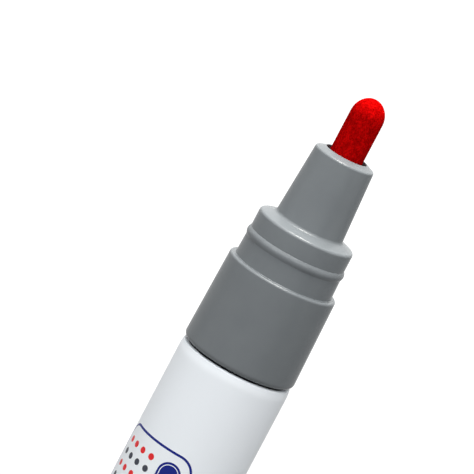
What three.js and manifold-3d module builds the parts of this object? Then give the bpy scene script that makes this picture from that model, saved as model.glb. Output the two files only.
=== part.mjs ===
// A valve-action paint marker, standing nib up with its cap pushed onto the stepped tail.
// Millimetres, +Z towards the nib. The origin is the centre of the cap's flat closed end,
// which the marker stands on. Pressing the nib pushes the valve rod off its packing, and ink
// runs from the barrel through the valve case to the nib. A steel ball stirs the ink.
import * as THREE from "three";
import { mergeVertices } from "three/addons/utils/BufferGeometryUtils.js";
import Module from "manifold-3d";

// Barrel: a drawn aluminium can with a stepped tail and a necked mouth.
const BARREL_RADIUS = 7.5;
const BARREL_LENGTH = 92.5; // tail to the foot of the collar
const BARREL_WALL = 0.5;
const SHOULDER_ROUNDING = 0.9; // where the can turns in under the collar
const COLLAR_GAP = 0.25; // the dark line between collar and can
const MOUTH_INSET = 1.3; // from the can's outside to its neck
const MOUTH_HEIGHT = 9; // neck inside the collar
const MOUTH_RIB_HEIGHT = 4; // rolled rib that the collar snaps over
const MOUTH_RIB_PROUD = 0.15;
const TAIL_LENGTH = 6.5; // stepped tail that carries the cap
const TAIL_DISH = 0.5; // hollow under the can
const TAIL_FLOOR = 0.6;
const TAIL_ROUNDING = 0.35;
const STEP_ROUNDING = 0.3; // where the tail steps out to the can

// Collar: the grey moulding, from its foot to the cone's tip.
const COLLAR_PROUD = 0.09; // collar's foot over the can
const COLLAR_DRAFT = 0.29; // foot radius less top radius
const COLLAR_HEIGHT = 12.3; // foot to the ledge
const COLLAR_ROUNDING = 0.68;
const LEDGE_WIDTH = 0.68;
const LEDGE_ROUNDING = 0.25;
const LEDGE_FILLET = 0.1;
const BAND_DRAFT = 0.17; // taper of the cap seat over its height
const BAND_HEIGHT = 6.34; // ledge to the cone's shoulder
const BAND_ROUNDING = 0.4;
const BEAD_RISE = 2.8; // ledge to the snap bead's underside
const BEAD_HEIGHT = 1.12;
const BEAD_PROUD = 0.15; // crest over the cap seat
const BEAD_LEAD = 0.17; // height of its steep upper and lower sides
const BEAD_ROUNDING = 0.4;
const SHELF_WIDTH = 1.87; // band's edge to the cone
const SHELF_RISE = 0.66; // the shelf slopes up to the cone
const CONE_DRAFT = 0.58; // foot radius less tip radius
const CONE_HEIGHT = 10.62; // band's edge to the rim
const CONE_FOOT_FILLET = 0.35;
const CONE_WALL = 1.25; // round the bore at the tip
const RIM_CHAMFER_WIDTH = 0.65;
const RIM_CHAMFER_HEIGHT = 0.5;
const RIM_ROUNDING = 0.4; // both edges of the chamfer
const BORE_ROUNDING = 0.12;
const PLUG_WALL = 1.05; // inner sleeve that fills the can's neck
const PLUG_FOOT = 0.8; // height of the sleeve's end above the collar's foot
const GUIDE_RIBS = 6; // ribs that centre the nib, with ink and air between them
const GUIDE_RIB_WIDTH = 0.6;
const GUIDE_RIB_DEPTH = 1.4; // ribs' ends below the rim
const GUIDE_RIB_ROOT = 0.3; // how far a rib runs into the cone's wall

// Nib: a bullet of bonded polyester fibre.
const NIB_OUT = 7.84; // rim to the nib's point
const NIB_DOME = 2.6;
const NIB_FOOT_CHAMFER = 0.3;
const NIB_LENGTH = 22;
const NIB_GAP = 0.55; // round the nib in its bore
const NIB_TRAVEL = 2; // how far the nib presses in to open the valve

// Valve.
const CHAMBER_ROOF = 12; // packing's upper face above the collar's foot
const PACKING_HEIGHT = 1;
const PACKING_BORE = 1.7;
const CASE_WALL = 0.8;
const CASE_FOOT = -7.5; // below the collar's foot, inside the can
const CASE_LEDGE = 1.2; // inward ledge that holds the retainer
const CASE_LEDGE_WIDTH = 0.9;
const CASE_WINDOWS = 4;
const WINDOW_WIDTH = 2.4;
const WINDOW_HEIGHT = 3.6;
const WINDOW_RISE = 1.2; // window's sill above the retainer
const WINDOW_MARGIN = 0.5; // cutter beyond both faces of the wall
const HEAD_RADIUS = 2.6;
const HEAD_HEIGHT = 1.6;
const HEAD_CHAMFER = 0.3;
const STEM_RADIUS = 0.95;
const STEM_TAIL = 1.2; // stem beyond the retainer
const PIN_WIDTH = 0.7; // arm of the cross-shaped front pin
const PIN_SPAN = 2.4;
const RETAINER_HEIGHT = 1.2;
const RETAINER_HOLES = 5;
const RETAINER_HOLE_RADIUS = 0.38;
const SPRING_RADIUS = 1.75; // to the wire's centre
const WIRE_RADIUS = 0.2;
const WIRE_SIDES = 5;
const SPRING_TURNS = 9;
const TURN_STEPS = 8;
const SPRING_END_GAP = 0.45; // between the wire's first two turns

const BALL_RADIUS = 3;
const GASKET_HEIGHT = 0.8;

// Cap: a red outer shell with a liner that seals round the cone.
const CAP_LENGTH = 38;
const CAP_END_WALL = 1.6;
const CAP_TAPER = 0.55; // mouth radius less end radius
const CAP_END_ROUNDING = 0.8;
const CAP_MOUTH_INSET = 0.08; // cap's mouth under the can's radius
const CAP_SNAP_RISE = 1.6; // mouth to the inner snap ring
const CAP_SNAP_HEIGHT = 0.8;
const CAP_FLUTES = 20;
const FLUTE_RADIUS = 0.8;
const FLUTE_DEPTH = 0.22;
const FLUTE_LENGTH = 15;
const FLUTE_RISE = 2.2; // mouth to the flutes' ends
const LINER_WALL = 0.8;
const LINER_THROAT = 7; // wide stretch that wraps the cone's foot
const LINER_TAPER = 2.5; // height over which it narrows to the cone's tip
const LINER_FLANGE = 0.9;
const LINER_SHOULDER_GAP = 0.7; // cone's shoulder to the liner's mouth
const LINER_CONE_GAP = 0.3;
const LINER_TIP_GAP = 1.6; // nib's point to the liner's end
const LINER_ROUNDING = 0.6;
const POCKET_ROUNDING = 0.5; // foot of a moulded hollow

const FIT = 0.06; // radial clearance of pushed-in pieces
const RUN = 0.08; // radial clearance of sliding pieces
const SEAT = 0.02; // hairline between faces that rest on each other
const EDGE = 0.25; // broken edges of the moulded pieces
const WIDE = 40; // sides of the large round pieces
const FINE = 28; // sides of the small ones
const SMALL = 24; // sides of the ball, the retainer and its holes
const SMALL_ROUNDING = 0.35;

// Sizes worked out from those above. Heights in the nose are above the collar's foot.
const collarFootRadius = BARREL_RADIUS + COLLAR_PROUD;
const collarTopRadius = collarFootRadius - COLLAR_DRAFT;
const seatRadius = collarTopRadius - LEDGE_WIDTH;
const bandTopRadius = seatRadius - BAND_DRAFT;
const shoulderHeight = COLLAR_HEIGHT + BAND_HEIGHT;
const rimHeight = shoulderHeight + CONE_HEIGHT;
const beadRadius = bandTopRadius + BAND_DRAFT / 2 + BEAD_PROUD;
const coneFootRadius = bandTopRadius - SHELF_WIDTH;
const coneTipRadius = coneFootRadius - CONE_DRAFT;
const boreRadius = coneTipRadius - CONE_WALL;
const nibRadius = boreRadius - NIB_GAP;
const mouthRadius = BARREL_RADIUS - MOUTH_INSET;
const mouthBore = mouthRadius - BARREL_WALL;
const plugRadius = mouthBore - FIT;
const chamberRadius = plugRadius - PLUG_WALL;
const caseRadius = chamberRadius - FIT;
const caseBore = caseRadius - CASE_WALL;
const ledgeBore = caseBore - CASE_LEDGE_WIDTH;
const caseTop = CHAMBER_ROOF - PACKING_HEIGHT - SEAT;
const retainerFloor = CASE_FOOT + CASE_LEDGE + SEAT;
const springSeat = retainerFloor + RETAINER_HEIGHT;
const headTop = caseTop - SEAT;
const headFoot = headTop - HEAD_HEIGHT;
const nibFoot = rimHeight + NIB_OUT - NIB_LENGTH;
const slotTop = MOUTH_HEIGHT + GASKET_HEIGHT + SEAT;
const tailRadius = seatRadius - RUN;
const capMouthRadius = BARREL_RADIUS - CAP_MOUTH_INSET;
const capEndRadius = capMouthRadius - CAP_TAPER;
const capBore = beadRadius + RUN;
const linerMouth = CAP_LENGTH - BAND_HEIGHT - LINER_SHOULDER_GAP;
const linerRadius = coneFootRadius + LINER_CONE_GAP + LINER_WALL;
const tailBottom = CAP_LENGTH + SEAT - TAIL_LENGTH;
const collarFoot = tailBottom + BARREL_LENGTH;

const wasm = await Module();
wasm.setup();

// An outline of [radius, height, rounding] corners. A corner with a rounding becomes an arc
// that touches both of its sides, of fewer steps where it is small.
function outline(corners) {
  const at = (i) => new THREE.Vector2(...corners[(i + corners.length) % corners.length]);
  return corners.flatMap(([radius, height, rounding = 0], i) => {
    const corner = new THREE.Vector2(radius, height);
    if (!rounding) return [corner];
    const back = at(i - 1).sub(corner).normalize();
    const ahead = at(i + 1).sub(corner).normalize();
    const half = back.angleTo(ahead) / 2;
    const turn = Math.sign(ahead.cross(back)) * (Math.PI - 2 * half);
    const centre = back.clone().add(ahead).setLength(rounding / Math.sin(half)).add(corner);
    const start = back.clone().multiplyScalar(rounding / Math.tan(half)).add(corner);
    const steps = rounding < SMALL_ROUNDING ? 2 : 3;
    return Array.from({ length: steps + 1 }, (_, k) =>
      start.clone().rotateAround(centre, (turn * k) / steps),
    );
  });
}

// A solid of revolution about Z. A ring's outline closes on itself, and a solid one starts
// and ends on the axis.
function turned(points, sides, ring) {
  const loop = THREE.ShapeUtils.isClockWise(points) ? points.toReversed() : points;
  const profile = ring ? [...loop, loop[0]] : loop;
  return new THREE.LatheGeometry(profile, sides).rotateX(Math.PI / 2);
}

// A closed geometry as a solid that can be cut and joined.
function solid(geometry) {
  const bare = geometry.clone();
  bare.deleteAttribute("normal");
  bare.deleteAttribute("uv");
  const merged = mergeVertices(bare, 1e-4);
  return new wasm.Manifold(
    new wasm.Mesh({
      numProp: 3,
      vertProperties: merged.attributes.position.array,
      triVerts: new Uint32Array(merged.index.array),
    }),
  );
}

// A cut or joined solid as a geometry.
function geometryOf(manifold) {
  const mesh = manifold.getMesh();
  const geometry = new THREE.BufferGeometry();
  geometry.setAttribute("position", new THREE.BufferAttribute(mesh.vertProperties, 3));
  geometry.setIndex(new THREE.BufferAttribute(mesh.triVerts, 1));
  geometry.computeVertexNormals();
  return geometry;
}

// Copies of a geometry, turned evenly about Z.
function around(count, geometry) {
  return Array.from({ length: count }, (_, i) =>
    solid(geometry.clone().rotateZ((i * 2 * Math.PI) / count)),
  );
}

function cutFrom(body, tools) {
  return geometryOf(tools.reduce((left, tool) => left.subtract(tool), solid(body)));
}

function joinedTo(body, pieces) {
  return geometryOf(pieces.reduce((whole, piece) => whole.add(piece), solid(body)));
}

// A box that reaches from one radius to another along X, between two heights.
function radialBox(inner, outer, width, low, high) {
  return new THREE.BoxGeometry(outer - inner, width, high - low).translate(
    (inner + outer) / 2,
    0,
    (low + high) / 2,
  );
}

const plastic = (color, roughness) =>
  new THREE.MeshStandardMaterial({ color, roughness, metalness: 0 });
const metal = (color, roughness) =>
  new THREE.MeshStandardMaterial({ color, roughness, metalness: 1 });
const greyPlastic = plastic(0x74797b, 0.45);
const whiteEnamel = plastic(0xe6e9eb, 0.35);
const redFibre = plastic(0xb00008, 0.95);
const redPlastic = plastic(0xc01018, 0.3);
const naturalPlastic = plastic(0xe8e6dc, 0.5);
const blackRubber = plastic(0x202224, 0.8);
const steel = metal(0xb8bcc0, 0.25);

function piece(name, geometry, material) {
  const mesh = new THREE.Mesh(geometry, material);
  mesh.name = name;
  return mesh;
}

// Heights in the can are above its tail.
function barrelGeometry() {
  const shoulder = BARREL_LENGTH - COLLAR_GAP;
  const mouth = BARREL_LENGTH + MOUTH_HEIGHT;
  const rib = BARREL_LENGTH + MOUTH_RIB_HEIGHT;
  const tailBore = tailRadius - BARREL_WALL;
  const bore = BARREL_RADIUS - BARREL_WALL;
  const dishRadius = tailRadius - 2 * BARREL_WALL;
  return turned(
    outline([
      [0, TAIL_DISH],
      [dishRadius - TAIL_DISH, TAIL_DISH],
      [dishRadius, 0],
      [tailRadius, 0, TAIL_ROUNDING],
      [tailRadius, TAIL_LENGTH],
      [BARREL_RADIUS, TAIL_LENGTH, STEP_ROUNDING],
      [BARREL_RADIUS, shoulder, SHOULDER_ROUNDING],
      [mouthRadius, shoulder],
      [mouthRadius, rib - 2 * MOUTH_RIB_PROUD],
      [mouthRadius + MOUTH_RIB_PROUD, rib],
      [mouthRadius, rib + 2 * MOUTH_RIB_PROUD],
      [mouthRadius, mouth],
      [mouthBore, mouth],
      [mouthBore, shoulder - BARREL_WALL],
      [bore, shoulder - BARREL_WALL, SHOULDER_ROUNDING - BARREL_WALL],
      [bore, TAIL_LENGTH + BARREL_WALL],
      [tailBore, TAIL_LENGTH],
      [tailBore, TAIL_DISH + TAIL_FLOOR],
      [0, TAIL_DISH + TAIL_FLOOR],
    ]),
    WIDE,
  );
}

function collarGeometry() {
  const beadFoot = COLLAR_HEIGHT + BEAD_RISE;
  const beadTop = beadFoot + BEAD_HEIGHT;
  const skirtBore = mouthRadius + FIT;
  const groove = MOUTH_RIB_PROUD + FIT;
  const shell = turned(
    outline([
      [boreRadius, rimHeight, BORE_ROUNDING],
      [coneTipRadius - RIM_CHAMFER_WIDTH, rimHeight, RIM_ROUNDING],
      [coneTipRadius, rimHeight - RIM_CHAMFER_HEIGHT, RIM_ROUNDING],
      [coneFootRadius, shoulderHeight + SHELF_RISE, CONE_FOOT_FILLET],
      [bandTopRadius, shoulderHeight, BAND_ROUNDING],
      [bandTopRadius, beadTop],
      [beadRadius, beadTop - BEAD_LEAD, BEAD_ROUNDING],
      [beadRadius, beadFoot + BEAD_LEAD, BEAD_ROUNDING],
      [bandTopRadius + BAND_DRAFT / 2, beadFoot],
      [seatRadius, COLLAR_HEIGHT, LEDGE_FILLET],
      [collarTopRadius, COLLAR_HEIGHT, LEDGE_ROUNDING],
      [collarFootRadius, 0, COLLAR_ROUNDING],
      [skirtBore, 0],
      [skirtBore, MOUTH_RIB_HEIGHT - 2 * groove],
      [skirtBore + groove, MOUTH_RIB_HEIGHT],
      [skirtBore, MOUTH_RIB_HEIGHT + 2 * groove],
      [skirtBore, slotTop],
      [plugRadius, slotTop],
      [plugRadius, PLUG_FOOT, EDGE],
      [chamberRadius, PLUG_FOOT],
      [chamberRadius, CHAMBER_ROOF],
      [boreRadius, CHAMBER_ROOF],
    ]),
    WIDE,
    true,
  );
  const rib = radialBox(
    nibRadius + RUN,
    boreRadius + GUIDE_RIB_ROOT,
    GUIDE_RIB_WIDTH,
    nibFoot + NIB_TRAVEL,
    rimHeight - GUIDE_RIB_DEPTH,
  );
  return joinedTo(shell, around(GUIDE_RIBS, rib));
}

// Straight below, and half an ellipse at the point: radius = R sqrt(1 - (h / dome)^2).
function nibGeometry() {
  const domeSteps = 10;
  const domeFoot = NIB_LENGTH - NIB_DOME;
  const dome = Array.from({ length: domeSteps + 1 }, (_, i) => {
    const angle = (i / domeSteps) * (Math.PI / 2);
    const radius = i === domeSteps ? 0 : nibRadius * Math.cos(angle);
    return new THREE.Vector2(radius, domeFoot + NIB_DOME * Math.sin(angle));
  });
  const foot = outline([
    [0, 0],
    [nibRadius - NIB_FOOT_CHAMFER, 0],
    [nibRadius, NIB_FOOT_CHAMFER],
  ]);
  return turned([...foot, ...dome], FINE);
}

// Head, rear stem and a cross-shaped front pin that lets the ink pass.
function valveRodGeometry() {
  const stemFoot = retainerFloor - STEM_TAIL;
  const turnedBody = turned(
    outline([
      [0, stemFoot],
      [STEM_RADIUS, stemFoot, EDGE],
      [STEM_RADIUS, headFoot],
      [HEAD_RADIUS, headFoot, EDGE],
      [HEAD_RADIUS, headTop - HEAD_CHAMFER],
      [HEAD_RADIUS - HEAD_CHAMFER, headTop],
      [0, headTop],
    ]),
    FINE,
  );
  const pinFoot = headTop - HEAD_HEIGHT / 2;
  const pinTop = nibFoot - SEAT;
  const arms = [0, Math.PI / 2].map((angle) =>
    solid(
      new THREE.BoxGeometry(PIN_SPAN, PIN_WIDTH, pinTop - pinFoot)
        .translate(0, 0, (pinTop + pinFoot) / 2)
        .rotateZ(angle),
    ),
  );
  return joinedTo(turnedBody, arms);
}

function packingGeometry() {
  const foot = CHAMBER_ROOF - PACKING_HEIGHT;
  return turned(
    outline([
      [PACKING_BORE, foot],
      [caseRadius, foot],
      [caseRadius, CHAMBER_ROOF - SEAT],
      [PACKING_BORE, CHAMBER_ROOF - SEAT],
    ]),
    FINE,
    true,
  );
}

function valveCaseGeometry() {
  const tube = turned(
    outline([
      [caseRadius, caseTop],
      [caseBore, caseTop],
      [caseBore, CASE_FOOT + CASE_LEDGE],
      [ledgeBore, CASE_FOOT + CASE_LEDGE],
      [ledgeBore, CASE_FOOT],
      [caseRadius, CASE_FOOT, EDGE],
    ]),
    WIDE,
    true,
  );
  const sill = springSeat + WINDOW_RISE;
  const window = radialBox(
    caseBore - WINDOW_MARGIN,
    caseRadius + WINDOW_MARGIN,
    WINDOW_WIDTH,
    sill,
    sill + WINDOW_HEIGHT,
  );
  return cutFrom(tube, around(CASE_WINDOWS, window));
}

// A disc with a hub hole for the stem and a ring of flow holes.
function retainerGeometry() {
  const disc = new THREE.Shape().absarc(0, 0, caseBore - FIT, 0, 2 * Math.PI);
  const hubHole = STEM_RADIUS + RUN;
  const ringRadius = (SPRING_RADIUS + WIRE_RADIUS + ledgeBore) / 2;
  disc.holes.push(new THREE.Path().absarc(0, 0, hubHole, 0, 2 * Math.PI));
  for (let i = 0; i < RETAINER_HOLES; i++) {
    const angle = (i * 2 * Math.PI) / RETAINER_HOLES;
    const x = ringRadius * Math.cos(angle);
    const y = ringRadius * Math.sin(angle);
    disc.holes.push(new THREE.Path().absarc(x, y, RETAINER_HOLE_RADIUS, 0, 2 * Math.PI));
  }
  return new THREE.ExtrudeGeometry(disc, {
    depth: RETAINER_HEIGHT,
    bevelEnabled: false,
    curveSegments: SMALL / 2,
  });
}

// The wire's centre line: two closed end turns and an even pitch between them.
class Coil extends THREE.Curve {
  getPoint(t) {
    const low = springSeat + WIRE_RADIUS + SEAT;
    const high = headFoot - WIRE_RADIUS - SEAT;
    const endPitch = 2 * WIRE_RADIUS + SPRING_END_GAP;
    const turn = t * SPRING_TURNS;
    const pitch = (high - low - 2 * endPitch) / (SPRING_TURNS - 2);
    const middle = Math.min(Math.max(turn - 1, 0), SPRING_TURNS - 2) * pitch;
    const ends = (Math.min(turn, 1) + Math.max(turn - SPRING_TURNS + 1, 0)) * endPitch;
    const angle = turn * 2 * Math.PI;
    const x = SPRING_RADIUS * Math.cos(angle);
    const y = SPRING_RADIUS * Math.sin(angle);
    return new THREE.Vector3(x, y, low + middle + ends);
  }
}

function springGeometry() {
  const wire = new THREE.Shape(
    Array.from({ length: WIRE_SIDES }, (_, i) => {
      const angle = (i * 2 * Math.PI) / WIRE_SIDES;
      return new THREE.Vector2(Math.cos(angle), Math.sin(angle)).multiplyScalar(WIRE_RADIUS);
    }),
  );
  const steps = SPRING_TURNS * TURN_STEPS;
  const extrudePath = new Coil();
  return new THREE.ExtrudeGeometry(wire, { steps, extrudePath, bevelEnabled: false });
}

function gasketGeometry() {
  return turned(
    outline([
      [plugRadius + FIT / 2, MOUTH_HEIGHT + SEAT],
      [mouthRadius, MOUTH_HEIGHT + SEAT],
      [mouthRadius, slotTop - SEAT],
      [plugRadius + FIT / 2, slotTop - SEAT],
    ]),
    WIDE,
    true,
  );
}

// Heights in the cap are above its closed end.
function outerCapGeometry() {
  const snapTop = CAP_LENGTH - CAP_SNAP_RISE;
  const snapRadius = tailRadius + RUN / 2;
  const linerShelf = linerMouth - LINER_FLANGE - SEAT;
  const shell = turned(
    outline([
      [0, 0],
      [capEndRadius, 0, CAP_END_ROUNDING],
      [capMouthRadius, CAP_LENGTH, EDGE],
      [capBore, CAP_LENGTH],
      [capBore, snapTop],
      [snapRadius, snapTop - CAP_SNAP_HEIGHT / 3],
      [snapRadius, snapTop - (2 * CAP_SNAP_HEIGHT) / 3],
      [capBore, snapTop - CAP_SNAP_HEIGHT],
      [capBore, linerShelf],
      [linerRadius + FIT, linerShelf],
      [linerRadius + FIT, CAP_END_WALL, POCKET_ROUNDING],
      [0, CAP_END_WALL],
    ]),
    WIDE,
  );
  const fluteTop = CAP_LENGTH - FLUTE_RISE;
  const lean = Math.atan(CAP_TAPER / CAP_LENGTH);
  const fluteMiddle = fluteTop - FLUTE_LENGTH / 2;
  const wallRadius = capEndRadius + (CAP_TAPER * fluteMiddle) / CAP_LENGTH;
  const flute = new THREE.CapsuleGeometry(FLUTE_RADIUS, FLUTE_LENGTH, 2, 10)
    .rotateX(Math.PI / 2)
    .rotateY(lean)
    .translate(wallRadius + FLUTE_RADIUS - FLUTE_DEPTH, 0, fluteMiddle);
  return cutFrom(shell, around(CAP_FLUTES, flute));
}

function innerCapGeometry() {
  const pocketFloor = CAP_LENGTH - (rimHeight - COLLAR_HEIGHT + NIB_OUT + LINER_TIP_GAP);
  const foot = pocketFloor - LINER_WALL;
  const throatFoot = linerMouth - LINER_THROAT;
  const taperFoot = throatFoot - LINER_TAPER;
  const tipBore = coneTipRadius + LINER_CONE_GAP;
  const flangeRadius = capBore - FIT;
  return turned(
    outline([
      [0, foot],
      [tipBore + LINER_WALL, foot, LINER_ROUNDING],
      [tipBore + LINER_WALL, taperFoot],
      [linerRadius, throatFoot],
      [linerRadius, linerMouth - LINER_FLANGE],
      [flangeRadius, linerMouth - LINER_FLANGE],
      [flangeRadius, linerMouth],
      [linerRadius - LINER_WALL, linerMouth],
      [linerRadius - LINER_WALL, throatFoot],
      [tipBore, taperFoot],
      [tipBore, pocketFloor, POCKET_ROUNDING],
      [0, pocketFloor],
    ]),
    WIDE,
  );
}

const nose = new THREE.Group();
nose.position.z = collarFoot;
nose.add(
  piece("front_collar", collarGeometry(), greyPlastic),
  piece("nib", nibGeometry().translate(0, 0, nibFoot), redFibre),
  piece("mouth_gasket", gasketGeometry(), blackRubber),
  piece("valve_packing", packingGeometry(), blackRubber),
  piece("valve_case", valveCaseGeometry(), naturalPlastic),
  piece("valve_rod", valveRodGeometry(), naturalPlastic),
  piece("valve_spring", springGeometry(), steel),
  piece("spring_retainer", retainerGeometry().translate(0, 0, retainerFloor), naturalPlastic),
);

const can = new THREE.Group();
can.position.z = tailBottom;
const ballHeight = TAIL_DISH + TAIL_FLOOR + BALL_RADIUS + SEAT;
const ball = new THREE.SphereGeometry(BALL_RADIUS, SMALL, SMALL / 2).rotateX(Math.PI / 2);
can.add(
  piece("barrel", barrelGeometry(), whiteEnamel),
  piece("mixing_ball", ball.translate(0, 0, ballHeight), steel),
);

const cap = new THREE.Group();
cap.add(
  piece("outer_cap", outerCapGeometry(), redPlastic),
  piece("inner_cap", innerCapGeometry(), naturalPlastic),
);

const marker = new THREE.Group();
marker.add(nose, can, cap);
export default marker;
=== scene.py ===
from math import cos, pi, radians, sin

import bmesh
import bpy
import numpy as np
from mathutils import Matrix, Vector


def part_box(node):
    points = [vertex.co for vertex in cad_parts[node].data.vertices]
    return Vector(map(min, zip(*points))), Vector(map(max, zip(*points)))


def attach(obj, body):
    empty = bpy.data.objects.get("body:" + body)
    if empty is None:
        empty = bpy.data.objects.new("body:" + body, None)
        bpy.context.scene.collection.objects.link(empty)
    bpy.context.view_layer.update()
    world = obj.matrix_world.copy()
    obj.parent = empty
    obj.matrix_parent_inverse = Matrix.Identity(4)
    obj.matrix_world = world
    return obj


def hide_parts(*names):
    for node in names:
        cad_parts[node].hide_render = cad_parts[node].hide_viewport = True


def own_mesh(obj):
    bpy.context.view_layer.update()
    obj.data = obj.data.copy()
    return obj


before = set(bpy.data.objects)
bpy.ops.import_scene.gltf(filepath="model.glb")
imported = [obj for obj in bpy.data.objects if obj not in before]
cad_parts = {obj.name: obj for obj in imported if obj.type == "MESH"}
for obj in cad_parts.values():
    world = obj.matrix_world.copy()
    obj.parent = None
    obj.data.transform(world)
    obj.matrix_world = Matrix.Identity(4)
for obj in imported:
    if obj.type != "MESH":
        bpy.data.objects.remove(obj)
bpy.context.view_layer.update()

# The camera looks down on the nose a little from the nib's side, with the marker leaning to the
# right in the picture. Its aim lies beside the axis, so the barrel leaves by the lower left.
lean = radians(27.68)
camera_height = radians(11.3)
camera_distance = 0.4948
aim = Vector((-0.00729, 0, 0.13786))
ahead = Vector((0, cos(camera_height), -sin(camera_height)))
level = Vector((1, 0, 0))
above = level.cross(ahead)
right = cos(lean) * level + sin(lean) * above
up = cos(lean) * above - sin(lean) * level
camera = bpy.data.objects.new("camera", bpy.data.cameras.new("camera"))
camera.data.lens = 303.8
camera.data.clip_end = 20
camera.matrix_world = Matrix.Translation(aim - camera_distance * ahead) @ Matrix(
    (right, up, -ahead)
).transposed().to_4x4()
bpy.context.scene.collection.objects.link(camera)
bpy.context.scene.camera = camera


# Barrel: a can drawn from aluminium sheet, with a stepped tail for the cap and a necked mouth
# inside the collar. It is coated with white enamel, and the print is on the enamel.
mm = 0.001


def rounded(corners, arc=10, lead=0.04 * mm):
    """A smooth outline of [radius, height, rounding] corners. Each rounding is an arc that
    touches both sides, and each straight side has a point close to both of its ends, so that
    smooth shading keeps to the roundings."""
    corners = [(*c, 0)[:3] for c in corners]
    places = np.array([c[:2] for c in corners])
    points = []
    for i, (r, z, rounding) in enumerate(corners):
        corner = np.array((r, z))
        if not rounding:
            points.append(corner[None])
            continue
        back, on = places[i - 1] - corner, places[(i + 1) % len(places)] - corner
        back, on = back / np.linalg.norm(back), on / np.linalg.norm(on)
        half = np.arccos(np.clip(back @ on, -1, 1)) / 2
        middle = corner + (back + on) / np.linalg.norm(back + on) * rounding / sin(half)
        start = corner + back * rounding / np.tan(half) - middle
        way = np.sign(on[0] * back[1] - on[1] * back[0])
        turn = way * (pi - 2 * half) * np.linspace(0, 1, arc + 1)[:, None]
        across = np.array((-start[1], start[0]))
        points.append(middle + np.cos(turn) * start + np.sin(turn) * across)
    line = np.concatenate(points)
    side = np.roll(line, -1, axis=0) - line
    length = np.linalg.norm(side, axis=1, keepdims=True)
    share = lead / np.maximum(length, lead)
    spread = np.stack([line, line + share * side, line + (1 - share) * side], axis=1)
    keep = np.ones(spread.shape[:2], bool)
    keep[:, 1:] = length > 5 * lead
    on_axis = (line[:, 0] < 1e-9) & (np.roll(line, -1, axis=0)[:, 0] < 1e-9)
    keep[on_axis, 1:] = False
    return spread[keep]


def surface(name, *grids):
    """A closed mesh from grids of points, one row for each place on the outline and one column
    for each place round it. Rows and columns wrap round, and doubles are merged."""
    faces, first = [], 0
    for grid in grids:
        rows, columns = grid.shape[:2]
        lower = first + np.arange(rows * columns).reshape(rows, columns)
        upper = np.roll(lower, -1, axis=0)
        ring = [lower, np.roll(lower, -1, axis=1), np.roll(upper, -1, axis=1), upper]
        faces.append(np.stack(ring, axis=-1).reshape(-1, 4))
        first += rows * columns
    points = np.concatenate([grid.reshape(-1, 3) for grid in grids])
    faces = np.concatenate(faces)
    mesh = bpy.data.meshes.new(name)
    mesh.from_pydata(points, [], faces)
    work = bmesh.new()
    work.from_mesh(mesh)
    bmesh.ops.remove_doubles(work, verts=work.verts, dist=1e-8)
    bmesh.ops.dissolve_degenerate(work, edges=work.edges, dist=1e-8)
    bmesh.ops.recalc_face_normals(work, faces=work.faces)
    work.to_mesh(mesh)
    work.free()
    mesh.shade_smooth()
    piece = bpy.data.objects.new(name, mesh)
    bpy.context.scene.collection.objects.link(piece)
    return piece


def turned(name, outline, sides=192):
    """The surface that an outline sweeps about Z: x = r cos t, y = r sin t."""
    angle = np.linspace(0, 2 * pi, sides, endpoint=False)
    r, z = outline[:, :1], outline[:, 1:]
    return surface(name, np.stack([r * np.cos(angle), r * np.sin(angle), z + 0 * angle], axis=-1))


def add(tree, kind, *values, output=0, **settings):
    """A new shader node with its inputs set or linked in order. None leaves one as it is."""
    node = tree.nodes.new("ShaderNode" + kind)
    for name, value in settings.items():
        setattr(node, name, value)
    for socket, value in zip(node.inputs, values):
        if isinstance(value, bpy.types.NodeSocket):
            tree.links.new(value, socket)
        elif value is not None:
            socket.default_value = value
    return node.outputs[output]


def calculate(tree, operation, *values):
    """The result of one sum on numbers and sockets."""
    return add(tree, "Math", *values, operation=operation)


def finish(name, **uniform):
    """A material whose one shader has these uniform values, its tree and its shader."""
    made = bpy.data.materials.new(name)
    made.use_nodes = True
    shader = made.node_tree.nodes["Principled BSDF"]
    for socket, value in uniform.items():
        shader.inputs[socket.replace("_", " ")].default_value = value
    return made, made.node_tree, shader


def bump(tree, shader, height, distance, strength=1.0):
    """Relief of the given depth in metres from a height that runs from 0 to 1."""
    node = tree.nodes.new("ShaderNodeBump")
    node.inputs["Strength"].default_value = strength
    node.inputs["Distance"].default_value = distance
    tree.links.new(height, node.inputs["Height"])
    tree.links.new(node.outputs["Normal"], shader.inputs["Normal"])


def noise(tree, place, scale, detail=2.0, roughness=0.5):
    """Cloudiness from 0 to 1, with about as many clouds to the metre as its scale says."""
    node = tree.nodes.new("ShaderNodeTexNoise")
    node.inputs["Scale"].default_value = scale
    node.inputs["Detail"].default_value = detail
    node.inputs["Roughness"].default_value = roughness
    tree.links.new(place, node.inputs["Vector"])
    return node.outputs["Fac"]


def ramp(tree, value, *stops):
    """Colours by place along a value from 0 to 1, each stop as (place, colour)."""
    node = tree.nodes.new("ShaderNodeValToRGB")
    while len(node.color_ramp.elements) < len(stops):
        node.color_ramp.elements.new(0.5)
    for element, (place, colour) in zip(node.color_ramp.elements, stops):
        element.position, element.color = place, (*colour, 1)
    tree.links.new(value, node.inputs["Fac"])
    return node.outputs["Color"]


def place_of(tree):
    """The place on the piece, in metres."""
    return add(tree, "TexCoord", output=3)


def apart(tree, place):
    """The x, y and z of a place."""
    node = tree.nodes.new("ShaderNodeSeparateXYZ")
    tree.links.new(place, node.inputs[0])
    return node.outputs


def mixed(tree, factor, first, second):
    """One colour where the factor is 0 and another where it is 1."""
    node = tree.nodes.new("ShaderNodeMix")
    node.data_type = "RGBA"
    for socket, value in ((0, factor), (6, first), (7, second)):
        if isinstance(value, bpy.types.NodeSocket):
            tree.links.new(value, node.inputs[socket])
        else:
            node.inputs[socket].default_value = value if socket == 0 else (*value, 1)
    return node.outputs[2]


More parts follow.
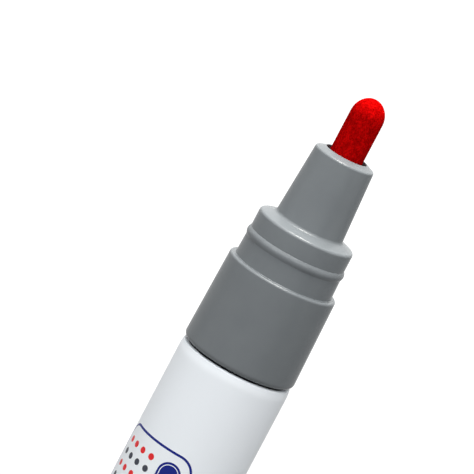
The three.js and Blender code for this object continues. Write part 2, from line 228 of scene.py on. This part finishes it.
tail, mouth = (corner.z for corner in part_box("barrel"))
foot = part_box("front_collar")[0].z
can_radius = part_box("barrel")[1].x
sheet = 0.5 * mm
hairline = 0.02 * mm  # between faces that rest on each other
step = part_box("outer_cap")[1].z + hairline  # where the tail widens to the can
shoulder = foot - 0.25 * mm  # where the can turns in, a dark gap below the collar
shoulder_ease = 0.14 * mm
ease_height = 0.8 * mm
neck = can_radius - 1.3 * mm
post = 6.54 * mm  # the tail's radius
rib = foot + 4 * mm  # rolled out of the neck, for the collar to snap over
rib_proud = 0.15 * mm
dish = 0.5 * mm
tail_floor = tail + dish + 0.6 * mm
barrel = turned(
    "enamelled_can",
    rounded(
        [
            (0, tail + dish),
            (post - 2 * sheet - dish, tail + dish, 0.3 * mm),
            (post - 2 * sheet, tail, 0.25 * mm),
            (post, tail, 0.35 * mm),
            (post, step, 0.2 * mm),
            (can_radius, step, 0.3 * mm),
            (can_radius, shoulder - ease_height, 6.5 * mm),
            (can_radius - shoulder_ease, shoulder, 0.2 * mm),
            (neck, shoulder, 0.1 * mm),
            (neck, rib - 2 * rib_proud),
            (neck + rib_proud, rib, 0.3 * mm),
            (neck, rib + 2 * rib_proud),
            (neck, mouth, 0.15 * mm),
            (neck - sheet, mouth, 0.15 * mm),
            (neck - sheet, shoulder - sheet, 0.2 * mm),
            (can_radius - sheet, shoulder - sheet, 0.4 * mm),
            (can_radius - sheet, step + sheet, 0.2 * mm),
            (post - sheet, step, 0.2 * mm),
            (post - sheet, tail_floor, 0.3 * mm),
            (0, tail_floor),
        ]
    ),
)


def enamel():
    """White coat with a faint orange peel. Black lacquer is on the tail, and the same black on the
    neck and the shoulder's inner edge is painted shade in the gap under the collar. The print is
    two rounded frames with a lined bar and rows of shrinking dots in each, and two bands below
    them. Across is the way round the can from a frame's middle and along the way down from the
    collar, both in millimetres."""
    made, tree, shader = finish("white_enamel", Roughness=0.3, IOR=1.42, Specular_IOR_Level=0.28)
    place = place_of(tree)

    def math(operation, *values):
        return calculate(tree, operation, *values)

    x, y, z = apart(tree, place)
    axis_distance = math("SQRT", math("ADD", math("MULTIPLY", x, x), math("MULTIPLY", y, y)))
    between = radians(53)
    facing = math("ADD", math("MULTIPLY", x, sin(between)), math("MULTIPLY", y, -cos(between)))
    turn = math("ARCCOSINE", math("DIVIDE", facing, axis_distance))
    across = math("MULTIPLY", math("SUBTRACT", pi / 2, turn), can_radius / mm)
    along = math("DIVIDE", math("SUBTRACT", foot, z), mm)

    def rounded_box(middle, half, corner):
        """The distance to a box with round corners, below 0 inside it."""
        beyond = [
            math("ADD", math("ABSOLUTE", math("SUBTRACT", value, centre)), corner - reach)
            for value, centre, reach in zip((across, along), middle, half)
        ]
        out = [math("MAXIMUM", value, 0.0) for value in beyond]
        square = math("ADD", math("MULTIPLY", out[0], out[0]), math("MULTIPLY", out[1], out[1]))
        within = math("MINIMUM", math("MAXIMUM", *beyond), 0.0)
        return math("SUBTRACT", math("ADD", math("SQRT", square), within), corner)

    def near(value, middle, half):
        """1 where a value lies within a half width of a middle, and 0 elsewhere."""
        return math("COMPARE", value, middle, half)

    colour = (0.83, 0.875, 0.92)
    navy, red, dark = (0.003, 0.013, 0.2), (0.72, 0.02, 0.025), (0.045, 0.05, 0.07)
    lacquer_and_gap_shade = (0.02, 0.02, 0.022)
    half_line = 0.16
    halfway = 41.4
    panel = rounded_box(middle=(0, halfway), half=(6.25, 29), corner=2.2)
    bar = rounded_box(middle=(3.65, halfway), half=(1.6, 27.8), corner=1.6)
    pitch_across, pitch_along = 1.65, 1.685
    columns = math("DIVIDE", math("ADD", across, 5.25), pitch_across)
    rows = math("DIVIDE", math("SUBTRACT", along, 13.6), pitch_along)
    off = [
        math("MULTIPLY_ADD", math("FRACT", value), pitch, -pitch / 2)
        for value, pitch in ((columns, pitch_across), (rows, pitch_along))
    ]
    from_dot = math("SQRT", math("ADD", *(math("MULTIPLY", value, value) for value in off)))
    dot_radius = math("MULTIPLY_ADD", along, -0.0062, 0.53)
    dots = math("LESS_THAN", from_dot, dot_radius)
    for value, count in ((columns, 4), (rows, 33)):
        dots = math("MULTIPLY", dots, near(value, count / 2, count / 2))
    odd_row = math("GREATER_THAN", math("FRACT", math("MULTIPLY", rows, 0.5)), 0.5)
    for mask, paint in (
        (near(panel, 0.0, half_line), navy),
        (math("LESS_THAN", bar, 0.0), navy),
        (near(bar, -0.35, 0.05), colour),
        (dots, mixed(tree, odd_row, red, dark)),
        (near(along, 74.0, half_line), navy),
        (near(along, 76.2, 1.2), red),
        # Black within 6.8 mm of the axis: lacquer on the tail, and painted shade on the neck and
        # inner shoulder in the gap under the collar.
        (math("LESS_THAN", axis_distance, 6.8 * mm), lacquer_and_gap_shade),
    ):
        colour = mixed(tree, mask, colour, paint)
    tree.links.new(colour, shader.inputs["Base Color"])
    bump(tree, shader, noise(tree, place, 900.0), 0.004 * mm, 0.5)
    return made


barrel.data.materials.append(enamel())
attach(barrel, "barrel")
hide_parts("barrel")

# Front section: one grey polypropylene moulding, snapped over the can's mouth. It has the
# collar, the ledge and band that the cap sits on, the snap bead, the cone round the nib, and
# an inner sleeve that holds the valve.
fit = 0.06 * mm  # clearance round pieces that are pushed in
rim = foot + 29.26 * mm
ledge = foot + 12.3 * mm
cone_foot = foot + 18.64 * mm
bead = ledge + 2.8 * mm
collar_foot = can_radius + 0.09 * mm
collar_top = collar_foot - 0.29 * mm
seat = collar_top - 0.68 * mm
band_top = seat - 0.17 * mm
cone_radius = 4.58 * mm
tip_radius = 4 * mm
bore = 2.75 * mm
skirt = neck + fit  # the collar's inside, over the can's neck
groove = rib_proud + fit
slot_top = mouth + 0.8 * mm + hairline  # the slot takes the can's mouth and the gasket
sleeve = neck - sheet - fit  # the inner sleeve's outside, in the can's mouth
sleeve_foot = foot + 0.8 * mm
chamber = sleeve - 1.05 * mm  # the inner sleeve's inside
chamber_roof = foot + 12 * mm
collar = turned(
    "grey_front_section",
    rounded(
        [
            (bore, rim + 0.1 * mm, 0.08 * mm),
            (tip_radius, rim - 0.43 * mm, 0.3 * mm),
            (cone_radius, cone_foot + 0.66 * mm, 0.45 * mm),
            (band_top, cone_foot, 0.4 * mm),
            (band_top, bead + 1.08 * mm, 0.04 * mm),
            (band_top + 0.44 * mm, bead + 0.57 * mm, 0.88 * mm),
            (band_top + 0.085 * mm, bead - 0.08 * mm, 0.04 * mm),
            (seat, ledge, 0.1 * mm),
            (collar_top, ledge, 0.32 * mm),
            (collar_foot, foot, 0.68 * mm),
            (skirt, foot, 0.1 * mm),
            (skirt, rib - 2 * groove),
            (skirt + groove, rib, 0.3 * mm),
            (skirt, rib + 2 * groove),
            (skirt, slot_top),
            (sleeve, slot_top),
            (sleeve, sleeve_foot, 0.25 * mm),
            (chamber, sleeve_foot, 0.1 * mm),
            (chamber, chamber_roof),
            (bore, chamber_roof, 0.1 * mm),
        ]
    ),
)


def satin_plastic():
    """Satin moulded grey with painted light: a little paler from just below the ledge up to the
    cone's foot and above it. The fine spark-eroded grain of the mould is in its relief."""
    made, tree, shader = finish("grey_plastic", Roughness=0.27, IOR=1.42, Specular_IOR_Level=0.4)
    place = place_of(tree)
    cloud = noise(tree, place, 260.0, 3.0)
    shade = ramp(tree, cloud, (0.3, (0.139, 0.154, 0.165)), (0.7, (0.149, 0.165, 0.175)))
    # Painted light: the grey is scaled up by as much as 13 % towards the nib.
    painted_light_upward = add(tree, "MapRange", apart(tree, place)[2], ledge - 2 * mm, cone_foot, 1.0, 1.13)
    scaled = add(tree, "VectorMath", shade, None, None, painted_light_upward, operation="SCALE")
    tree.links.new(scaled, shader.inputs["Base Color"])
    bump(tree, shader, noise(tree, place, 9000.0, 3.0, 0.6), 0.006 * mm, 0.35)
    return made


collar.data.materials.append(satin_plastic())
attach(collar, "barrel")
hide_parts("front_collar")

# Guide ribs: six, moulded in one with the wall of the cone's bore. They centre the nib and
# leave room between them for ink and air.
rib_middle = 2.665 * mm
rib_half_width = 0.3 * mm
rib_half_depth = 0.385 * mm


def guide_rib(angle):
    """A rib that stands in from the bore's wall, with a rounded crest and a sloped end. Its section
    is a rounded box, half width times the root of cos t and half depth times the root of sin t.
    For each row up the rib, height is above the collar's foot, fullness is the section's share of
    its full size, and outward is how far its middle moves into the wall, in millimetres."""
    height, fullness, outward = np.array(
        [[17.1, 17.1, 27.3, 27.86, 27.86], [0, 1, 1, 0.6, 0], [0, 0, 0, 0.12, 0.3]]
    )[:, :, None]
    t = np.linspace(0, 2 * pi, 24, endpoint=False)
    sideways = rib_half_width * np.sign(np.cos(t)) * np.abs(np.cos(t)) ** 0.5 * fullness
    depth = rib_half_depth * np.sign(np.sin(t)) * np.abs(np.sin(t)) ** 0.5 * fullness
    out = rib_middle + outward * mm + depth
    x = out * cos(angle) - sideways * sin(angle)
    y = out * sin(angle) + sideways * cos(angle)
    return np.stack([x, y, foot + height * mm + 0 * x], axis=-1)


ribs = surface("bore_guide_ribs", *(guide_rib(i * pi / 3) for i in range(6)))
ribs.data.materials.append(collar.data.materials[0])
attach(ribs, "barrel")

# Nib: a bullet ground from bonded polyester fibres that run along it. It is soaked with red
# ink, stands in the cone's bore with air round it, and slides in when it is pressed.
nib_foot, nib_top = (corner.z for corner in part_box("nib"))
nib_radius = 2.2 * mm
nib_chamfer = 0.3 * mm
dome = 2.55 * mm
sweep = np.linspace(0, pi / 2, 40)
side_rise = np.linspace(nib_foot + nib_chamfer, nib_top - dome, 60, endpoint=False)
bullet = np.concatenate(
    [
        np.array([[0, nib_foot], [nib_radius - nib_chamfer, nib_foot]]),
        np.stack([np.full_like(side_rise, nib_radius), side_rise], axis=1),
        np.stack([nib_radius * np.cos(sweep), nib_top - dome + dome * np.sin(sweep)], axis=1),
    ]
)
bullet[-1, 0] = 0
nib = turned("fibre_bullet_nib", bullet, 96)


def wet_fibre():
    """Red felt: streaks stretched along the nib, with random blotches and painted shade in the gaps
    between fibres, where the relief is low.
    """
    made, tree, shader = finish("red_fibre", Roughness=1.0, Specular_IOR_Level=0.0)
    place = place_of(tree)
    along_fibre = add(tree, "Mapping", place, None, None, (1, 1, 0.8))
    fibre = noise(tree, along_fibre, 5200.0, 2.0, 0.6)
    blotch = noise(tree, along_fibre, 1500.0, 2.0, 0.5)
    # Painted shade: the fibre cloud that lowers the relief also darkens the colour there, and the
    # blotches are random.
    blotches_and_gap_shade = calculate(tree, "MULTIPLY_ADD", blotch, 0.4, calculate(tree, "MULTIPLY", fibre, 0.6))
    colour = ramp(
        tree,
        blotches_and_gap_shade,
        (0.32, (0.17, 0.0, 0.0)),
        (0.5, (0.34, 0.001, 0.001)),
        (0.66, (0.56, 0.002, 0.002)),
    )
    tree.links.new(colour, shader.inputs["Base Color"])
    bump(tree, shader, fibre, 0.05 * mm, 0.5)
    return made


nib.data.materials.append(wet_fibre())
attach(nib, "nib")
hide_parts("nib")

# Valve: inside the grey moulding's sleeve. The case, the rod and the drilled retainer keep
# their solids, and the rubber rings and the coil spring are made again without facets.
def plain(name, colour, rough, grain, depth, metal=0.0):
    """One colour with a slight cloudiness and a fine grain in its relief."""
    made, tree, shader = finish(name, Roughness=rough, Metallic=metal)
    place = place_of(tree)
    cloud = noise(tree, place, 400.0, 3.0)
    darker = tuple(0.88 * c for c in colour)
    tree.links.new(ramp(tree, cloud, (0.3, darker), (0.7, colour)), shader.inputs["Base Color"])
    bump(tree, shader, noise(tree, place, grain), depth, 0.4)
    return made


milky = (0.8, 0.78, 0.7)
natural = plain("natural_plastic", milky, rough=0.4, grain=3000.0, depth=0.005 * mm)
for name in ("valve_case", "valve_rod", "spring_retainer"):
    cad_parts[name].data.materials.clear()
    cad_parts[name].data.materials.append(natural)

black = (0.02, 0.021, 0.023)
rubber = plain("black_rubber", black, rough=0.75, grain=5000.0, depth=0.01 * mm)
case_radius = chamber - fit
packing_bore = 1.7 * mm
packing_foot = chamber_roof - 1 * mm
rings = (
    ("mouth_gasket", (sleeve + fit / 2, neck), (mouth + hairline, slot_top - hairline)),
    ("valve_packing", (packing_bore, case_radius), (packing_foot, chamber_roof - hairline)),
)
for node, (inside, outside), (low, high) in rings:
    corners = ((inside, low), (outside, low), (outside, high), (inside, high))
    section = rounded([(*corner, 0.12 * mm) for corner in corners], arc=5)
    ring = turned("rubber_" + node, section, 128)
    ring.data.materials.append(rubber)
    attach(ring, "barrel")
    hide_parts(node)

wire_radius = 0.2 * mm
coil_radius = 1.75 * mm
coils = 9
spring_seat = foot - 5.08 * mm
spring_low = spring_seat + wire_radius + hairline
spring_high = foot + 9.14 * mm
end_pitch = 0.85 * mm


def coiled_wire():
    """A tube about a helix that closes up at both ends: the height is the low end, plus the end
    pitch over the first and last turn, plus an even pitch over the turns between them."""
    turns = np.linspace(0, coils, coils * 40 + 1)[:, None]
    pitch = (spring_high - spring_low - 2 * end_pitch) / (coils - 2)
    ends = np.minimum(turns, 1) + np.maximum(turns - coils + 1, 0)
    rise = spring_low + ends * end_pitch + np.clip(turns - 1, 0, coils - 2) * pitch
    t = 2 * pi * turns
    v = np.linspace(0, 2 * pi, 12, endpoint=False)
    wire = np.full(len(turns) + 2, wire_radius)[:, None]
    wire[[0, -1]] = 0
    t, rise = (np.concatenate([value[:1], value, value[-1:]]) for value in (t, rise))
    out = coil_radius + wire * np.cos(v)
    return np.stack([out * np.cos(t), out * np.sin(t), rise + wire * np.sin(v)], axis=-1)


spring = surface("coil_valve_spring", coiled_wire())
drawn = (0.52, 0.52, 0.54)
wire_steel = plain("spring_steel", drawn, rough=0.28, grain=6000.0, depth=0.004 * mm, metal=1.0)
spring.data.materials.append(wire_steel)
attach(spring, "barrel")
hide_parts("valve_spring")
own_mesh(spring)

# Ball: polished steel, loose in the can, where it knocks about and stirs the ink when the
# marker is shaken.
ball_radius = 3 * mm
ball_low, ball_high = (corner.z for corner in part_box("mixing_ball"))
ball_middle = (ball_low + ball_high) / 2
climb = np.linspace(-pi / 2, pi / 2, 49)
ball_outline = np.stack(
    [ball_radius * np.cos(climb), ball_middle + ball_radius * np.sin(climb)], axis=1
)
ball_outline[[0, -1], 0] = 0
ball = turned("polished_ball", ball_outline, 96)
polished = (0.6, 0.6, 0.62)
ball_steel = plain("ball_steel", polished, rough=0.12, grain=2000.0, depth=0.001 * mm, metal=1.0)
ball.data.materials.append(ball_steel)
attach(ball, "mixing_ball")
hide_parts("mixing_ball")

# Cap: glossy red polypropylene in the ink's colour, pushed onto the stepped tail. Twenty
# shallow flutes with round ends give it grip near its mouth, and a ring inside it snaps on.
cap_height = 38 * mm
cap_end = 6.87 * mm
cap_mouth = 7.42 * mm
cap_bore = 6.765 * mm
cap_floor = 1.6 * mm
gate_dimple = 0.12 * mm
pocket = 5.74 * mm  # radius of the hollow behind the liner's flange
liner_shelf = 30.04 * mm
snap_radius = 6.58 * mm
snap_ring = 36 * mm  # height of the ring's middle
flutes = 20
flute_radius = 0.8 * mm
flute_axis_out = 0.58 * mm
flute_low = 20.8 * mm
flute_high = 35.8 * mm
fade = 0.56 * mm * np.linspace(0, 1, 9) ** 0.6
between_ends = np.array([24, 28, 32]) * mm
flute_rows = np.concatenate([flute_low - fade[::-1], between_ends, flute_high + fade])


def cap_wall(z):
    """The cap's radius at a height, on a straight taper from its end to its mouth."""
    return cap_end + (cap_mouth - cap_end) * z / cap_height


cap_outline = rounded(
    [
        (0, gate_dimple),
        (0.5 * mm, gate_dimple, 0.1 * mm),
        (0.8 * mm, 0, 0.2 * mm),
        (cap_end, 0, 0.8 * mm),
        *((cap_wall(z), z) for z in flute_rows),
        (cap_mouth, cap_height, 0.25 * mm),
        (cap_bore, cap_height, 0.12 * mm),
        (cap_bore, snap_ring + 0.4 * mm, 0.1 * mm),
        (snap_radius, snap_ring + 0.13 * mm, 0.12 * mm),
        (snap_radius, snap_ring - 0.13 * mm, 0.12 * mm),
        (cap_bore, snap_ring - 0.4 * mm, 0.1 * mm),
        (cap_bore, liner_shelf, 0.1 * mm),
        (pocket, liner_shelf, 0.1 * mm),
        (pocket, cap_floor, 0.5 * mm),
        (0, cap_floor),
    ],
    arc=6,
)


def fluted(outline):
    """The outline turned about Z, less round channels along the wall. Where a channel of radius q
    about an axis at radius c is nearer than the wall, the radius is c cos a - sqrt(q^2 - d^2 -
    c^2 sin^2 a), with a the angle from its axis and d the way past its straight stretch. The
    columns lie closer to each other at a channel's edge."""
    half = np.array([0, 0.7, 1.4, 2.1, 2.8, 3.4, 3.9, 4.17, 4.5, 5.5, 7])
    pitch = 360 / flutes
    offset = np.radians(np.concatenate([half, [pitch / 2], pitch - half[:0:-1]]))
    angle = (np.arange(flutes)[:, None] * 2 * pi / flutes + offset).ravel()
    from_axis = np.tile(np.where(offset > pi / flutes, offset - 2 * pi / flutes, offset), flutes)
    r, z = outline[:, :1], outline[:, 1:]
    past = np.maximum(flute_low - z, 0) + np.maximum(z - flute_high, 0)
    axis = cap_wall(z) + flute_axis_out
    left = flute_radius**2 - past**2 - (axis * np.sin(from_axis)) ** 2
    channel = axis * np.cos(from_axis) - np.sqrt(np.maximum(left, 0))
    r = np.where(left > 0, np.minimum(r, channel), r)
    return np.stack([r * np.cos(angle), r * np.sin(angle), z + 0 * r], axis=-1)


def glossy_red():
    """Glossy moulded red, a little uneven in colour, with the slight waviness of thick walls."""
    made, tree, shader = finish("red_plastic", Roughness=0.25, IOR=1.45, Specular_IOR_Level=0.3)
    place = place_of(tree)
    cloud = noise(tree, place, 180.0, 2.0)
    shade = ramp(tree, cloud, (0.3, (0.56, 0.002, 0.005)), (0.7, (0.62, 0.003, 0.007)))
    tree.links.new(shade, shader.inputs["Base Color"])
    bump(tree, shader, noise(tree, place, 700.0), 0.004 * mm, 0.4)
    return made


cap = surface("fluted_red_cap", fluted(cap_outline))
cap.data.materials.append(glossy_red())
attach(cap, "cap")
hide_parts("outer_cap")

# Liner: a natural plastic cup pushed into the cap, where its mouth wraps the cone's foot and
# keeps the nib from drying.
liner_wall = 0.8 * mm
tip_bore = 4.3 * mm
throat_bore = 4.88 * mm
flange_radius = 6.7 * mm
liner_foot = 10.8 * mm
taper_foot = 21.46 * mm
throat_foot = 23.96 * mm
flange_foot = liner_shelf + hairline
liner_mouth = 30.96 * mm
liner = turned(
    "cap_liner",
    rounded(
        [
            (0, liner_foot),
            (tip_bore + liner_wall, liner_foot, 0.6 * mm),
            (tip_bore + liner_wall, taper_foot, 0.6 * mm),
            (throat_bore + liner_wall, throat_foot, 0.6 * mm),
            (throat_bore + liner_wall, flange_foot, 0.1 * mm),
            (flange_radius, flange_foot, 0.1 * mm),
            (flange_radius, liner_mouth, 0.15 * mm),
            (throat_bore, liner_mouth, 0.3 * mm),
            (throat_bore, throat_foot, 0.6 * mm),
            (tip_bore, taper_foot, 0.6 * mm),
            (tip_bore, liner_foot + liner_wall, 0.5 * mm),
            (0, liner_foot + liner_wall),
        ],
        arc=6,
    ),
    128,
)
liner.data.materials.append(natural)
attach(liner, "cap")
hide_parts("inner_cap")

# Studio: a white floor and a white surround, which the camera and gloss see at full strength
# and matt finishes get less light from. Two dark flags show in gloss alone, and soft lamps
# stand in front, at both sides and above.
def ways_of_seeing(tree):
    """Whether a ray comes straight from the camera, and whether it comes by gloss or glass."""
    rays = tree.nodes.new("ShaderNodeLightPath")
    mirrored = calculate(
        tree, "MAXIMUM", rays.outputs["Is Glossy Ray"], rays.outputs["Is Transmission Ray"]
    )
    return rays.outputs["Is Camera Ray"], mirrored


def white_between_flags(tree, place):
    """The strength of white in gloss: 1, and less behind the left side and at the right side,
    where two dark flags keep the white off the edges of round shapes. Each has an azimuth, as
    for the camera, the cosines at which it starts and is full, and the share it takes away."""
    toward = add(tree, "VectorMath", place, operation="NORMALIZE")
    white = 1.0
    for azimuth, start, full, dark in ((-130, 0.75, 0.9, 0.35), (100, 0.4, 0.6, 0.5)):
        middle = (sin(radians(azimuth)), -cos(radians(azimuth)), 0)
        facing = add(tree, "VectorMath", toward, middle, output=1, operation="DOT_PRODUCT")
        flag = add(tree, "MapRange", facing, start, full, 0.0, dark)
        white = calculate(tree, "SUBTRACT", white, flag)
    return white


bpy.ops.mesh.primitive_plane_add(size=12)
floor = bpy.context.object
floor.name = "floor"
white_floor, tree, shader = finish("white_floor", Roughness=0.9)
straight, mirrored = ways_of_seeing(tree)
# The floor throws little light back at the marker, and looks paler than that.
floor_colour = mixed(tree, straight, (0.1, 0.1, 0.1), (0.4, 0.4, 0.4))
tree.links.new(floor_colour, shader.inputs["Base Color"])
glow = tree.nodes.new("ShaderNodeEmission")
in_gloss = white_between_flags(tree, place_of(tree))
lit = calculate(tree, "MAXIMUM", calculate(tree, "MULTIPLY", straight, 1.3), in_gloss)
tree.links.new(lit, glow.inputs["Strength"])
# The camera sees the floor itself near the marker, where the shadow lies, and its glow far off.
away = add(tree, "VectorMath", place_of(tree), output=1, operation="LENGTH")
share = add(tree, "MapRange", away, 0.08, 0.6, 0.1, 0.95)
blend = tree.nodes.new("ShaderNodeMixShader")
tree.links.new(calculate(tree, "MULTIPLY_ADD", straight, share, mirrored), blend.inputs[0])
tree.links.new(shader.outputs[0], blend.inputs[1])
tree.links.new(glow.outputs[0], blend.inputs[2])
tree.links.new(blend.outputs[0], tree.nodes["Material Output"].inputs["Surface"])
floor.data.materials.append(white_floor)

world = bpy.data.worlds.new("studio")
world.use_nodes = True
tree = world.node_tree
straight, mirrored = ways_of_seeing(tree)
direction = add(tree, "TexCoord")
in_gloss = white_between_flags(tree, direction)
seen = calculate(tree, "MAXIMUM", straight, calculate(tree, "MULTIPLY", mirrored, in_gloss))
light_on_matt = 0.36
strength = calculate(tree, "MAXIMUM", seen, light_on_matt)
tree.links.new(strength, tree.nodes["Background"].inputs["Strength"])
tree.nodes["Background"].inputs["Color"].default_value = (1, 1, 1, 1)
bpy.context.scene.world = world


def lamp(name, azimuth, elevation, size, brightness, distance=1.0, colour=(1, 1, 1)):
    """A soft box that faces the nose from a direction given as for the camera. Its brightness
    is its radiance, where 1 is that of the white surround."""
    light = bpy.data.lights.new(name, "AREA")
    light.color = colour
    light.shape = "RECTANGLE"
    light.size, light.size_y = size
    light.energy = brightness * pi * size[0] * size[1]
    made = bpy.data.objects.new(name, light)
    a, e = radians(azimuth), radians(elevation)
    back = Vector((sin(a) * cos(e), -cos(a) * cos(e), sin(e)))
    made.location = aim + distance * back
    made.rotation_euler = back.to_track_quat("Z", "Y").to_euler()
    bpy.context.scene.collection.objects.link(made)


warm = (1, 0.965, 0.92)
lamp("in_front", azimuth=-6, elevation=36, size=(0.8, 0.24), brightness=2.53, distance=0.5)
lamp("left_side", azimuth=-60, elevation=30, size=(0.8, 0.8), brightness=0.98)
lamp("right_side", azimuth=80, elevation=15, size=(0.8, 0.8), brightness=0.65)
lamp("over_the_nib", azimuth=-72, elevation=87, size=(0.62, 0.42), brightness=29, colour=warm)

bpy.context.scene.view_settings.view_transform = "Standard"
